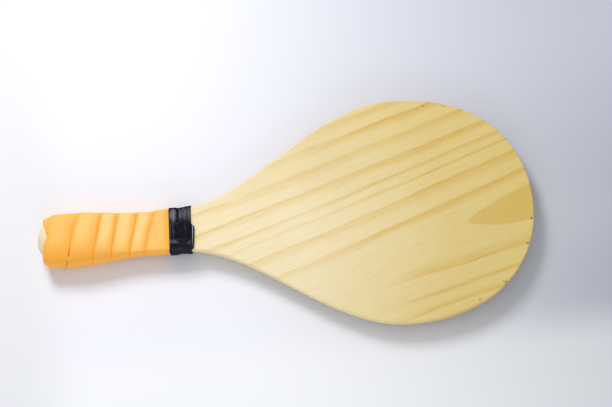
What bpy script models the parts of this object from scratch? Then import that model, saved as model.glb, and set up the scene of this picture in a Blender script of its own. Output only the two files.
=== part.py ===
"""A solid pine beach paddle with a wound foam grip and a tape collar.

The paddle lies flat with its front face up. +X runs from the butt of the handle to the tip of the
blade, and the origin is under the middle of the paddle, at the level that it rests on. Lengths along
the paddle are measured from the butt, and heights from the middle of the board, until the finished
pieces are moved to the origin.
"""
import math
from collections import namedtuple

import bmesh
import bpy
from mathutils import Matrix, Vector
from mathutils.bvhtree import BVHTree

MM = 0.001

# The board: one piece of pine from the butt to the tip
OVERALL_LENGTH = 425.0 * MM
BOARD_THICKNESS = 9.0 * MM
ARRIS_RADIUS = 1.2 * MM
ARRIS_SEGMENTS = 2

# The blade's outline, from the neck to the tip
NECK_FROM_BUTT = 131.0 * MM
NECK_WIDTH = 37.8 * MM
NECK_SLOPE = 0.13
SHOULDER_FROM_BUTT = 213.0 * MM
SHOULDER_WIDTH = 117.2 * MM
SHOULDER_SLOPE = 0.658
WIDEST_FROM_BUTT = 309.0 * MM
BLADE_WIDTH = 198.2 * MM
TIP_POWER_ALONG = 2.32
TIP_POWER_ACROSS = 2.10
OUTLINE_STEP = 8.0 * MM
BUTT_ARC_POINTS = 10
TIP_ARC_POINTS = 22

# The handle: the board's tang between two cheeks, shaped together
BUTT_WIDTH = 40.4 * MM
BUTT_THICKNESS = 21.8 * MM
BUTT_END_ROUNDING = 8.0 * MM
BUTT_END_POWER = 2.3
TAPER_START = 30.0 * MM
WAIST_FROM_BUTT = 88.0 * MM
WAIST_WIDTH = 31.4 * MM
BUTT_CORNER_ACROSS = 14.4 * MM
BUTT_CORNER_THROUGH = 7.9 * MM
LEAST_FLAT = 0.12
CHEEK_END_THICKNESS = 0.8 * MM
CHEEK_FIRST_STATION = 0.4 * MM
CHEEK_STATION_STEP = 7.0 * MM

# The brads that pin the cheeks to the tang
FRONT_BRADS_FROM_BUTT = (27.0 * MM, 49.0 * MM)
BRAD_STAGGER = 6.0 * MM
BRAD_SHANK_RADIUS = 0.8 * MM
BRAD_HEAD_RADIUS = 1.2 * MM
BRAD_HEAD_THICKNESS = 0.8 * MM
BRAD_SINK = 0.6 * MM
BRAD_BITE = 5.0 * MM
BRAD_POINT = 1.6 * MM
BRAD_SIDES = 12

# The grip: one foam strip wound from the butt to the collar, each turn over the edge of the last
GRIP_BUTT_EDGE = 5.0 * MM
GRIP_FIRST_EDGE = 7.0 * MM
GRIP_TURNS = 7
GRIP_TURN_CLOSING = 2.2 * MM
GRIP_FRONT_SLANT = 0.45
GRIP_END_TURN = 6.62
GRIP_LAP = 3.5 * MM
GRIP_THICKNESS = 1.5 * MM
GRIP_PRESSED_THICKNESS = 0.5 * MM
GRIP_PRESS_RAMP = 1.0 * MM
GRIP_BUTT_POWER_ACROSS = 3.2
GRIP_BUTT_POWER_THROUGH = 4.0
GRIP_TUCK = 3.2 * MM
GRIP_START_RISE = 0.2
REST_FLAT_DEPTH = 0.5 * MM

# The collar: black tape wound over the end of the grip
COLLAR_FROM_BUTT = 113.3 * MM
TAPE_WIDTH = 18.0 * MM
TAPE_THICKNESS = 0.2 * MM
TAPE_TURNS = 2
TAPE_END_POINT = 0
TAPE_SKEW = 2.0 * MM
TAPE_STEP_DOWN = 1.5 * MM

# Gaps
SEAT_GAP = 0.3 * MM
WOUND_GAP = 0.5 * MM

LOOP_POINTS = 24
CORNER_STEPS = 3

HALF_THICKNESS = BOARD_THICKNESS / 2

Section = namedtuple("Section", "half_width half_height corner_y corner_z")


def smooth_step(share):
    """0 up to 0, 1 from 1, and half a cosine wave between them."""
    share = min(max(share, 0.0), 1.0)
    return 0.5 - 0.5 * math.cos(math.pi * share)


def blend(first, last, share):
    """The value that lies the given share of the way from first to last."""
    return first + (last - first) * share


def hermite(x, start, end):
    """Height at x of the cubic that joins two (x, height, slope) stations."""
    span = end[0] - start[0]
    t = (x - start[0]) / span
    rise = (2 * t ** 3 - 3 * t ** 2 + 1) * start[1] + (3 * t ** 2 - 2 * t ** 3) * end[1]
    turn = (t ** 3 - 2 * t ** 2 + t) * start[2] + (t ** 3 - t ** 2) * end[2]
    return rise + span * turn


def rounded_end(depth, reach, power):
    """Share of the full size at a depth behind a rounded end that is full at the given reach."""
    if depth >= reach:
        return 1.0
    return (1 - (1 - max(depth, 0.0) / reach) ** power) ** (1 / power)


def half_width(x, butt_power=2.0):
    """Half of the paddle's width at x, with a butt that is round in plan."""
    waist = (WAIST_FROM_BUTT, WAIST_WIDTH / 2, 0.0)
    neck = (NECK_FROM_BUTT, NECK_WIDTH / 2, NECK_SLOPE)
    shoulder = (SHOULDER_FROM_BUTT, SHOULDER_WIDTH / 2, SHOULDER_SLOPE)
    widest = (WIDEST_FROM_BUTT, BLADE_WIDTH / 2, 0.0)
    if x < WAIST_FROM_BUTT:
        share = smooth_step((x - TAPER_START) / (WAIST_FROM_BUTT - TAPER_START))
        full = blend(BUTT_WIDTH, WAIST_WIDTH, share) / 2
        return full * rounded_end(x, BUTT_WIDTH / 2, butt_power)
    for start, end in ((waist, neck), (neck, shoulder), (shoulder, widest)):
        if x < end[0]:
            return hermite(x, start, end)
    along = min((x - WIDEST_FROM_BUTT) / (OVERALL_LENGTH - WIDEST_FROM_BUTT), 1.0)
    return BLADE_WIDTH / 2 * (1 - along ** TIP_POWER_ALONG) ** (1 / TIP_POWER_ACROSS)


def handle_section(x, power_across=2.0, power_through=BUTT_END_POWER):
    """The handle's section at x: its half sizes and the reach of its elliptical corners."""
    share = smooth_step((x - TAPER_START) / (WAIST_FROM_BUTT - TAPER_START))
    width = half_width(x, power_across)
    height = blend(BUTT_THICKNESS / 2, HALF_THICKNESS, share)
    height *= rounded_end(x, BUTT_END_ROUNDING, power_through)
    corner_y = min(blend(BUTT_CORNER_ACROSS, ARRIS_RADIUS, share), (1 - LEAST_FLAT) * width)
    corner_z = min(blend(BUTT_CORNER_THROUGH, ARRIS_RADIUS, share), (1 - LEAST_FLAT) * height)
    return Section(width, height, corner_y, corner_z)


def wound_section(x):
    """The section that the grip and the tape are wound on, which is blunter at the butt."""
    return handle_section(x, GRIP_BUTT_POWER_ACROSS, GRIP_BUTT_POWER_THROUGH)


def quarter_point(section, step):
    """A point (y, z) and its normal on the quarter from the front middle to the side middle."""
    flat_y = section.half_width - section.corner_y
    flat_z = section.half_height - section.corner_z
    first_corner = LOOP_POINTS // 4 - CORNER_STEPS - 1
    if step < first_corner:
        return (flat_y * step / first_corner, section.half_height), (0.0, 1.0)
    if step > first_corner + CORNER_STEPS:
        return (section.half_width, 0.0), (1.0, 0.0)
    angle = math.pi / 2 * (1 - (step - first_corner) / CORNER_STEPS)
    point = (flat_y + section.corner_y * math.cos(angle), flat_z + section.corner_z * math.sin(angle))
    normal = Vector((math.cos(angle) / section.corner_y, math.sin(angle) / section.corner_z)).normalized()
    return point, (normal.x, normal.y)


def loop_point(section, step, height=0.0):
    """Point (y, z) at one of the loop's stations, at a height over the section.

    Station 0 is the middle of the front, and the stations turn from the front towards +Y.
    """
    quarter = LOOP_POINTS // 4
    step %= LOOP_POINTS
    side = 1 if step <= 2 * quarter else -1
    from_front = step if side == 1 else LOOP_POINTS - step
    face = 1 if from_front <= quarter else -1
    from_face = from_front if face == 1 else 2 * quarter - from_front
    point, normal = quarter_point(section, from_face)
    return side * (point[0] + height * normal[0]), face * (point[1] + height * normal[1])


def cheek_end():
    """Where the cheeks have run out to their end thickness."""
    stand = SEAT_GAP + CHEEK_END_THICKNESS
    share = stand / (BUTT_THICKNESS / 2 - HALF_THICKNESS)
    turn = math.acos(2 * share - 1) / math.pi
    return blend(TAPER_START, WAIST_FROM_BUTT, turn)


def spread(start, end, step):
    """Evenly spaced values from start up to, but not at, end."""
    count = max(1, round((end - start) / step))
    return [blend(start, end, i / count) for i in range(count)]


def board_outline():
    """Points (x, y) round the board, from the butt along +Y to the tip and back."""
    radius = BUTT_WIDTH / 2
    butt = [radius * (1 - math.cos(math.pi / 2 * i / BUTT_ARC_POINTS)) for i in range(1, BUTT_ARC_POINTS)]
    sides = spread(radius, WIDEST_FROM_BUTT, OUTLINE_STEP)
    tip_reach = OVERALL_LENGTH - WIDEST_FROM_BUTT
    turns = [math.pi / 2 * i / TIP_ARC_POINTS for i in range(TIP_ARC_POINTS)]
    tip = [WIDEST_FROM_BUTT + tip_reach * math.sin(turn) ** (2 / TIP_POWER_ALONG) for turn in turns]
    upper = [(x, half_width(x)) for x in butt + sides + tip]
    lower = [(x, -y) for x, y in reversed(upper)]
    return [(0.0, 0.0)] + upper + [(OVERALL_LENGTH, 0.0)] + lower


def make_material(name, colour, roughness, metallic=0.0):
    """A Principled material of one colour."""
    material = bpy.data.materials.new(name)
    material.use_nodes = True
    shader = material.node_tree.nodes["Principled BSDF"]
    shader.inputs["Base Color"].default_value = (*colour, 1.0)
    shader.inputs["Roughness"].default_value = roughness
    shader.inputs["Metallic"].default_value = metallic
    return material


def new_object(name, bm, material, offset):
    """Write a bmesh to a new named object, moved by the offset to its place."""
    bmesh.ops.recalc_face_normals(bm, faces=bm.faces)
    mesh = bpy.data.meshes.new(name)
    bm.to_mesh(mesh)
    bm.free()
    mesh.shade_smooth()
    mesh.set_sharp_from_angle(angle=math.radians(35))
    if material:
        mesh.materials.append(material)
    piece = bpy.data.objects.new(name, mesh)
    piece.location = offset
    bpy.context.scene.collection.objects.link(piece)
    return piece


def cut_with(piece, cutter):
    """Cut a piece with a guide solid that is not part of the object."""
    cut = piece.modifiers.new("cut_" + cutter.name, "BOOLEAN")
    cut.operation = "DIFFERENCE"
    cut.solver = "EXACT"
    cut.object = cutter


def loft(rings):
    """Closed solid through rings of equal length, with a face over each end."""
    bm = bmesh.new()
    loops = [[bm.verts.new(point) for point in ring] for ring in rings]
    count = len(rings[0])
    sides = []
    for low, high in zip(loops, loops[1:]):
        for i in range(count):
            j = (i + 1) % count
            sides.append(bm.faces.new((low[i], low[j], high[j], high[i])))
    bmesh.ops.triangulate(bm, faces=sides, quad_method="FIXED")
    bm.faces.new(loops[0])
    bm.faces.new(loops[-1])
    return bm


def build_board(material, offset):
    """The pine board: blade, neck and tang in one, with softened arrises."""
    bm = bmesh.new()
    face = bm.faces.new([bm.verts.new((x, y, -HALF_THICKNESS)) for x, y in board_outline()])
    raised = bmesh.ops.extrude_face_region(bm, geom=[face])["geom"]
    verts = [item for item in raised if isinstance(item, bmesh.types.BMVert)]
    bmesh.ops.translate(bm, verts=verts, vec=(0, 0, BOARD_THICKNESS))
    rims = [edge for edge in bm.edges if abs(edge.verts[0].co.z - edge.verts[1].co.z) < HALF_THICKNESS]
    bmesh.ops.bevel(bm, geom=rims, affect="EDGES", offset=ARRIS_RADIUS, offset_type="OFFSET",
                    segments=ARRIS_SEGMENTS, profile=0.5, material=-1)
    return new_object("blade_board", bm, material, offset)


def build_cheek(name, face, material, offset):
    """One half-round cheek, glued on a face of the tang: face is 1 in front and -1 behind."""
    end = cheek_end()
    stations = [CHEEK_FIRST_STATION]
    radius = BUTT_END_ROUNDING
    stations += [radius * (1 - math.cos(math.pi / 2 * share)) for share in (0.35, 0.55, 0.75, 1.0)]
    stations += spread(radius, end, CHEEK_STATION_STEP)[1:] + [end]
    rings = []
    for x in stations:
        section = handle_section(x)
        rings.append([(x, *loop_point(section, step)) for step in range(LOOP_POINTS)])
    bm = loft(rings)
    glue_face = face * (HALF_THICKNESS + SEAT_GAP)
    geometry = bm.verts[:] + bm.edges[:] + bm.faces[:]
    cut = bmesh.ops.bisect_plane(bm, geom=geometry, dist=1e-7, plane_co=(0, 0, glue_face),
                                 plane_no=(0, 0, face), clear_inner=True)
    rim = [item for item in cut["geom_cut"] if isinstance(item, bmesh.types.BMEdge)]
    bmesh.ops.edgeloop_fill(bm, edges=rim)
    return new_object(name, bm, material, offset)


def brad_profile(x, clearance=0.0):
    """Half outline (radius, height) of a brad at x, from its point up to its head."""
    head_top = handle_section(x).half_height - BRAD_SINK
    head_low = head_top - BRAD_HEAD_THICKNESS
    point = HALF_THICKNESS - BRAD_BITE
    top = head_top if clearance == 0 else BUTT_THICKNESS
    return [(0.0, point - clearance), (BRAD_SHANK_RADIUS + clearance, point + BRAD_POINT - clearance),
            (BRAD_SHANK_RADIUS + clearance, head_low - clearance),
            (BRAD_HEAD_RADIUS + clearance, head_low - clearance), (BRAD_HEAD_RADIUS + clearance, top),
            (0.0, top)]


def turned_solid(profile, x, face):
    """Solid of revolution about the upright line at x, turned over for the rear face."""
    bm = bmesh.new()
    verts = [bm.verts.new((radius, 0, height)) for radius, height in profile]
    edges = [bm.edges.new(pair) for pair in zip(verts, verts[1:])]
    bmesh.ops.spin(bm, geom=verts + edges, cent=(0, 0, 0), axis=(0, 0, 1), angle=2 * math.pi,
                   steps=BRAD_SIDES, use_merge=True)
    bmesh.ops.remove_doubles(bm, verts=bm.verts, dist=1e-6)
    half_side = Matrix.Rotation(math.pi / BRAD_SIDES, 3, "Z")
    turn_over = Matrix.Rotation(math.pi if face < 0 else 0.0, 3, "X")
    bmesh.ops.rotate(bm, verts=bm.verts, cent=(0, 0, 0), matrix=turn_over @ half_side)
    bmesh.ops.translate(bm, verts=bm.verts, vec=(x, 0, 0))
    return bm


def build_brads(board, cheek, side, face, material, offset):
    """The brads of one cheek, with their holes through the cheek and into the board."""
    stagger = 0.0 if face > 0 else BRAD_STAGGER
    for place, from_butt in zip(("butt", "neck"), FRONT_BRADS_FROM_BUTT):
        x = from_butt + stagger
        name = side + "_brad_near_" + place
        new_object(name, turned_solid(brad_profile(x), x, face), material, offset)
        hole = new_object(name + "_hole", turned_solid(brad_profile(x, SEAT_GAP), x, face), None, offset)
        hole.hide_render = True
        hole.display_type = "WIRE"
        cut_with(board, hole)
        cut_with(cheek, hole)


def grip_edge(turn):
    """Where the butt-side edge of the strip lies after so many turns, before it meets the butt ring."""
    closing = GRIP_TURN_CLOSING / 2
    first = (COLLAR_FROM_BUTT - GRIP_FIRST_EDGE + closing * GRIP_TURNS ** 2) / GRIP_TURNS
    return GRIP_FIRST_EDGE + first * turn - closing * turn ** 2


def turn_at(step):
    """Turns made at a loop station: the strip advances faster over the front than over the back."""
    whole, place = divmod(step, LOOP_POINTS)
    section = wound_section(max(grip_edge(step / LOOP_POINTS), GRIP_BUTT_EDGE))
    points = [Vector(loop_point(section, i)) for i in range(LOOP_POINTS + 1)]
    lengths = [(b - a).length for a, b in zip(points, points[1:])]
    share = sum(lengths[:place]) / sum(lengths)
    return whole + share + GRIP_FRONT_SLANT * math.sin(2 * math.pi * share) / (2 * math.pi)


def strip_lines(step):
    """The strip's section at a loop station: x stations across it, heights under it, thicknesses.

    The strip leans: its butt-side edge lies over the pressed edge of the turn before, and its other
    edge lies on the handle. It is pressed thin where the next turn or the tape lies on it.
    """
    turn = turn_at(step)
    tuck_end = COLLAR_FROM_BUTT + GRIP_TUCK
    next_edge = grip_edge(turn_at(step + LOOP_POINTS))
    near = max(grip_edge(turn), GRIP_BUTT_EDGE)
    far = min(next_edge + GRIP_LAP, tuck_end)
    under = min(grip_edge(turn) + GRIP_LAP, far - GRIP_PRESS_RAMP)
    rise = (GRIP_PRESSED_THICKNESS + WOUND_GAP) * (far - near) / (far - max(under, near))
    rise *= smooth_step(1 + turn / GRIP_START_RISE)
    pressed_from = min(next_edge, COLLAR_FROM_BUTT) - SEAT_GAP
    full_to = pressed_from - GRIP_PRESS_RAMP
    over_edge = min(near + GRIP_LAP, blend(near, full_to, 0.5))
    stations = [near, over_edge, blend(over_edge, full_to, 0.5), full_to, pressed_from, far]
    heights = [SEAT_GAP + rise * (far - x) / (far - near) for x in stations]
    thicknesses = [GRIP_THICKNESS] * 4 + [GRIP_PRESSED_THICKNESS] * 2
    return stations, heights, thicknesses


def grip_rings():
    """Rings of points along the strip, round its section at each loop station."""
    rings = []
    first_step = -LOOP_POINTS
    last_step = round(GRIP_END_TURN * LOOP_POINTS)
    for step in range(first_step, last_step + 1):
        stations, heights, thicknesses = strip_lines(step)
        sections = [wound_section(x) for x in stations]
        lower = [(x, *loop_point(section, step, height))
                 for x, section, height in zip(stations, sections, heights)]
        upper = [(x, *loop_point(section, step, height + thickness))
                 for x, section, height, thickness in zip(stations, sections, heights, thicknesses)]
        rings.append(lower + upper[::-1])
    return rings


def cut_flat(rings, depth):
    """Flatten the underside of the wound strip, where the paddle rests, to a depth."""
    floor = min(z for ring in rings for _, _, z in ring) + depth
    return [[(x, y, max(z, floor)) for x, y, z in ring] for ring in rings], floor


def highest_strip(x):
    """The greatest height of the strip's outer face at x, all round the handle."""
    highest = 0.0
    for step in range(-LOOP_POINTS, round(GRIP_END_TURN * LOOP_POINTS) + 1):
        stations, heights, thicknesses = strip_lines(step)
        if stations[-2] <= x <= stations[-1]:
            share = (x - stations[-2]) / (stations[-1] - stations[-2])
            highest = max(highest, blend(heights[-2], heights[-1], share) + thicknesses[-1])
    return highest


def tape_rings():
    """Rings of points along the tape, which winds outwards and drifts towards the blade."""
    tuck_end = COLLAR_FROM_BUTT + GRIP_TUCK
    stations = [COLLAR_FROM_BUTT, tuck_end + SEAT_GAP, tuck_end + SEAT_GAP + TAPE_STEP_DOWN,
                COLLAR_FROM_BUTT + TAPE_WIDTH]
    grip_top = highest_strip(COLLAR_FROM_BUTT)
    bases = [grip_top + SEAT_GAP, GRIP_PRESSED_THICKNESS + 2 * SEAT_GAP, SEAT_GAP, SEAT_GAP]
    rings = []
    steps = TAPE_TURNS * LOOP_POINTS
    for step in range(steps + 1):
        turns = step / LOOP_POINTS
        drift = TAPE_SKEW * smooth_step(turns - (TAPE_TURNS - 1))
        growth = (TAPE_THICKNESS + WOUND_GAP) * turns
        place = TAPE_END_POINT - steps + step
        lower = []
        upper = []
        for x, base in zip(stations, bases):
            section = wound_section(x + drift)
            lower.append((x + drift, *loop_point(section, place, base + growth)))
            upper.append((x + drift, *loop_point(section, place, base + growth + TAPE_THICKNESS)))
        rings.append(lower + upper[::-1])
    return rings


def least_self_gap(rings):
    """Least distance between a wound strip's points and its own faces on the turns beside them."""
    half_turn = LOOP_POINTS // 2
    count = len(rings[0])
    points = [Vector(point) for ring in rings for point in ring]
    least = math.inf
    for start in range(0, len(rings), half_turn):
        own = range(start, min(start + half_turn, len(rings)))
        faces = []
        for ring in range(len(rings) - 1):
            if own.start - half_turn <= ring < own.stop + half_turn - 1:
                continue
            for i in range(count):
                j = (i + 1) % count
                low, high = ring * count, (ring + 1) * count
                faces.append((low + i, low + j, high + j, high + i))
        if not faces:
            continue
        tree = BVHTree.FromPolygons(points, faces)
        for ring in own:
            for i in range(count):
                here = points[ring * count + i]
                beside = points[ring * count + (i + 1) % count]
                for probe in (here, (here + beside) / 2):
                    least = min(least, tree.find_nearest(probe)[3])
    return least


def main():
    """Build every piece of the paddle."""
    for old in list(bpy.data.objects):
        bpy.data.objects.remove(old, do_unlink=True)

    pine = make_material("pine", (0.80, 0.66, 0.38), 0.55)
    foam = make_material("orange_foam", (0.93, 0.47, 0.11), 0.75)
    tape = make_material("black_tape", (0.015, 0.015, 0.019), 0.35)
    steel = make_material("bright_steel", (0.60, 0.60, 0.62), 0.35, metallic=1.0)

    strip, floor = cut_flat(grip_rings(), REST_FLAT_DEPTH)
    collar = tape_rings()
    offset = Vector((-OVERALL_LENGTH / 2, 0.0, -floor))

    board = build_board(pine, offset)
    for side, face in (("front", 1), ("rear", -1)):
        cheek = build_cheek(side + "_handle_cheek", face, pine, offset)
        build_brads(board, cheek, side, face, steel, offset)
    new_object("grip_strip", loft(strip), foam, offset)
    new_object("collar_tape", loft(collar), tape, offset)

    print("grip strip: least gap to itself %.2f mm" % (least_self_gap(strip) / MM))
    print("collar tape: least gap to itself %.2f mm" % (least_self_gap(collar) / MM))
    print("front face of the board at z = %.3f mm" % ((HALF_THICKNESS - floor) / MM))


main()
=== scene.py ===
"""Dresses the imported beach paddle: pine board and cheeks, wound foam grip, tape collar, studio and camera.

Lengths along the paddle are measured from the butt of the handle, and heights from the middle of the
board, until PaddleForm.world() puts a point in its place in the frame. A place round the handle is
counted in stations, 24 to a turn, from the middle of the front towards +Y.
"""
import logging
import math
from dataclasses import dataclass, field, replace
from enum import Enum
from functools import lru_cache, reduce
from itertools import accumulate
from typing import Callable, ClassVar, Sequence

import bmesh
import bpy
from mathutils import Matrix, Vector, noise


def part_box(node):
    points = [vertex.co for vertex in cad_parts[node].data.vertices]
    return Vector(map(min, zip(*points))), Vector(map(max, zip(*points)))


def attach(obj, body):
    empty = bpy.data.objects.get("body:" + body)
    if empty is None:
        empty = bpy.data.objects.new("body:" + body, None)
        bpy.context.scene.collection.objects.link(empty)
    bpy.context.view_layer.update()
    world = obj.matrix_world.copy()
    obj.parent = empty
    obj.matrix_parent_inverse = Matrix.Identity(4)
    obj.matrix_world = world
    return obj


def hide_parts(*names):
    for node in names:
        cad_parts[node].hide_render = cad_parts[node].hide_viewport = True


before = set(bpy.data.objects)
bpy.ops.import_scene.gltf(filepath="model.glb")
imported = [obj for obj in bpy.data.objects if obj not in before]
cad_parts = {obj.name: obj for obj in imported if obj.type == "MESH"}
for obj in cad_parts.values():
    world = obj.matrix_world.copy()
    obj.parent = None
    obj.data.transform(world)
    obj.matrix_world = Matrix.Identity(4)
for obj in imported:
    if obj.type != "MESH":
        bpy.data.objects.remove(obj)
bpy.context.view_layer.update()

MM = 0.001
STATIONS = 24
# A section's rounded corner lies between these stations of a quarter turn.
CORNER = (2, 5)
LOG = logging.getLogger("beach_paddle")

Pair = tuple[float, float]
Triple = tuple[float, float, float]
Colour = Triple
Stops = Sequence[tuple[float, Colour]]
Socket = bpy.types.NodeSocket
Material = bpy.types.Material
Piece = bpy.types.Object
Shape = bmesh.types.BMesh


class Face(Enum):
    """The two sides of the board: the value is the sign of the side's normal along Z."""

    FRONT = 1
    REAR = -1


# ---- small sums


def smooth_step(share: float) -> float:
    """Return 0 up to 0, 1 from 1, and half a cosine wave between them."""
    share = min(max(share, 0.0), 1.0)
    return 0.5 - 0.5 * math.cos(math.pi * share)


def blend(first: float, last: float, share: float) -> float:
    """Return the value that lies the given share of the way from first to last."""
    return first + (last - first) * share


def bell(distance: float, width: float) -> float:
    """Return a bell of height 1 that has fallen to 0.37 at the given width."""
    return math.exp(-((distance / width) ** 2))


def round_gap(station: float, middle: float) -> float:
    """Return how many stations lie between two places round the handle, the short way."""
    return (station - middle + STATIONS / 2) % STATIONS - STATIONS / 2


def ways_along(points: Sequence[Vector]) -> list[float]:
    """Return the length of a path up to each of its points."""
    return list(accumulate(((last - first).length for first, last in zip(points, points[1:])), initial=0.0))


def rows(kind: type, *values: Sequence[float]) -> tuple:
    """Return an item of a kind for every row of values."""
    return tuple(kind(*row) for row in values)


def hermite(x: float, start: Sequence[float], end: Sequence[float]) -> float:
    """Height at x of the cubic that joins two stations.

    Args:
        x: Where the height is wanted.
        start: The first station's place, height and slope.
        end: The last station's place, height and slope.

    Returns:
        The height.
    """
    span = end[0] - start[0]
    t = (x - start[0]) / span
    rise = (2 * t ** 3 - 3 * t ** 2 + 1) * start[1] + (3 * t ** 2 - 2 * t ** 3) * end[1]
    turn = (t ** 3 - 2 * t ** 2 + t) * start[2] + (t ** 3 - t ** 2) * end[2]
    return rise + span * turn


def rounded_end(depth: float, reach: float, power: float) -> float:
    """Share of the full size at a depth behind a rounded end.

    Args:
        depth: Distance behind the end.
        reach: Depth at which the size is full.
        power: 2 for an ellipse, more for a blunter end.

    Returns:
        The share, from 0 to 1.
    """
    if depth >= reach:
        return 1.0
    return (1 - (1 - max(depth, 0.0) / reach) ** power) ** (1 / power)


@dataclass(frozen=True)
class Hump:
    """A bell along a way or round the handle: its height, middle and width."""

    height: float
    middle: float
    width: float

    def at(self, place: float) -> float:
        """Return the height at a place."""
        return self.height * bell(place - self.middle, self.width)

    def around(self, station: float) -> float:
        """Return the height at a place round the handle."""
        return self.height * bell(round_gap(station, self.middle), self.width)


@dataclass(frozen=True)
class Wander:
    """A smooth swing, the same on every run: its size, seed, and rates along and across."""

    size: float
    seed: float
    rate: float
    cross_rate: float = 0.0

    def at(self, place: float, across: float = 0.0) -> float:
        """Return the swing at a place, within about the size."""
        point = Vector((self.rate * place, self.cross_rate * across, self.seed * 7.31))
        return self.size * 2.0 * noise.noise(point)


# ---- meshes


@dataclass(frozen=True)
class Spot:
    """One vertex of a rolled grid: where it lies and what is marked on it."""

    place: Vector
    marks: dict[str, float] = field(default_factory=dict)


def rolled_grid(along: int, around: int, spot: Callable[[float, float], Spot],
                marks: Sequence[str] = ()) -> Shape:
    """Roll a grid into a closed tube with both ends filled.

    Args:
        along: Segments along the tube.
        around: Segments round it.
        spot: Gives the vertex at a share along and a share around.
        marks: Names of the float attributes that the spots carry.

    Returns:
        The closed solid, its seam merged and its faces pointing out.
    """
    bm = bmesh.new()
    bmesh.ops.create_grid(bm, x_segments=along, y_segments=around, size=1.0)
    layers = {name: bm.verts.layers.float.new(name) for name in marks}
    for vert in bm.verts:
        here = spot((vert.co.x + 1) / 2, (vert.co.y + 1) / 2)
        vert.co = here.place
        for name, value in here.marks.items():
            vert[layers[name]] = value
    bmesh.ops.remove_doubles(bm, verts=bm.verts, dist=1e-6)
    bmesh.ops.holes_fill(bm, edges=[edge for edge in bm.edges if edge.is_boundary], sides=0)
    bmesh.ops.recalc_face_normals(bm, faces=bm.faces)
    return bm


def finished_piece(name: str, bm: Shape, material: Material, sharp_from: float = 40.0) -> Piece:
    """Write a bmesh to an object at the origin and shade it smooth.

    Args:
        name: The piece's name.
        bm: Its shape, already in its place. It is freed.
        material: Its finish.
        sharp_from: Angle in degrees from which an edge stays sharp.

    Returns:
        The new object, in the scene.
    """
    mesh = bpy.data.meshes.new(name)
    bm.to_mesh(mesh)
    bm.free()
    mesh.shade_smooth()
    mesh.set_sharp_from_angle(angle=math.radians(sharp_from))
    mesh.materials.append(material)
    piece = bpy.data.objects.new(name, mesh)
    bpy.context.scene.collection.objects.link(piece)
    return piece


def seat(piece: Piece, slot: str, *nodes: str) -> Piece:
    """Tie a piece to the frame.

    Args:
        piece: The finished piece.
        slot: The record's material slot; not used.
        nodes: The CAD nodes that it stands for.

    Returns:
        The same piece.
    """
    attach(piece, "root")
    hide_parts(*nodes)
    return piece


# ---- the paddle's form


@dataclass(frozen=True)
class Section:
    """One cross section of the handle: half sizes and the reach of its elliptical corners."""

    half_width: float
    half_height: float
    corner_y: float
    corner_z: float


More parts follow.
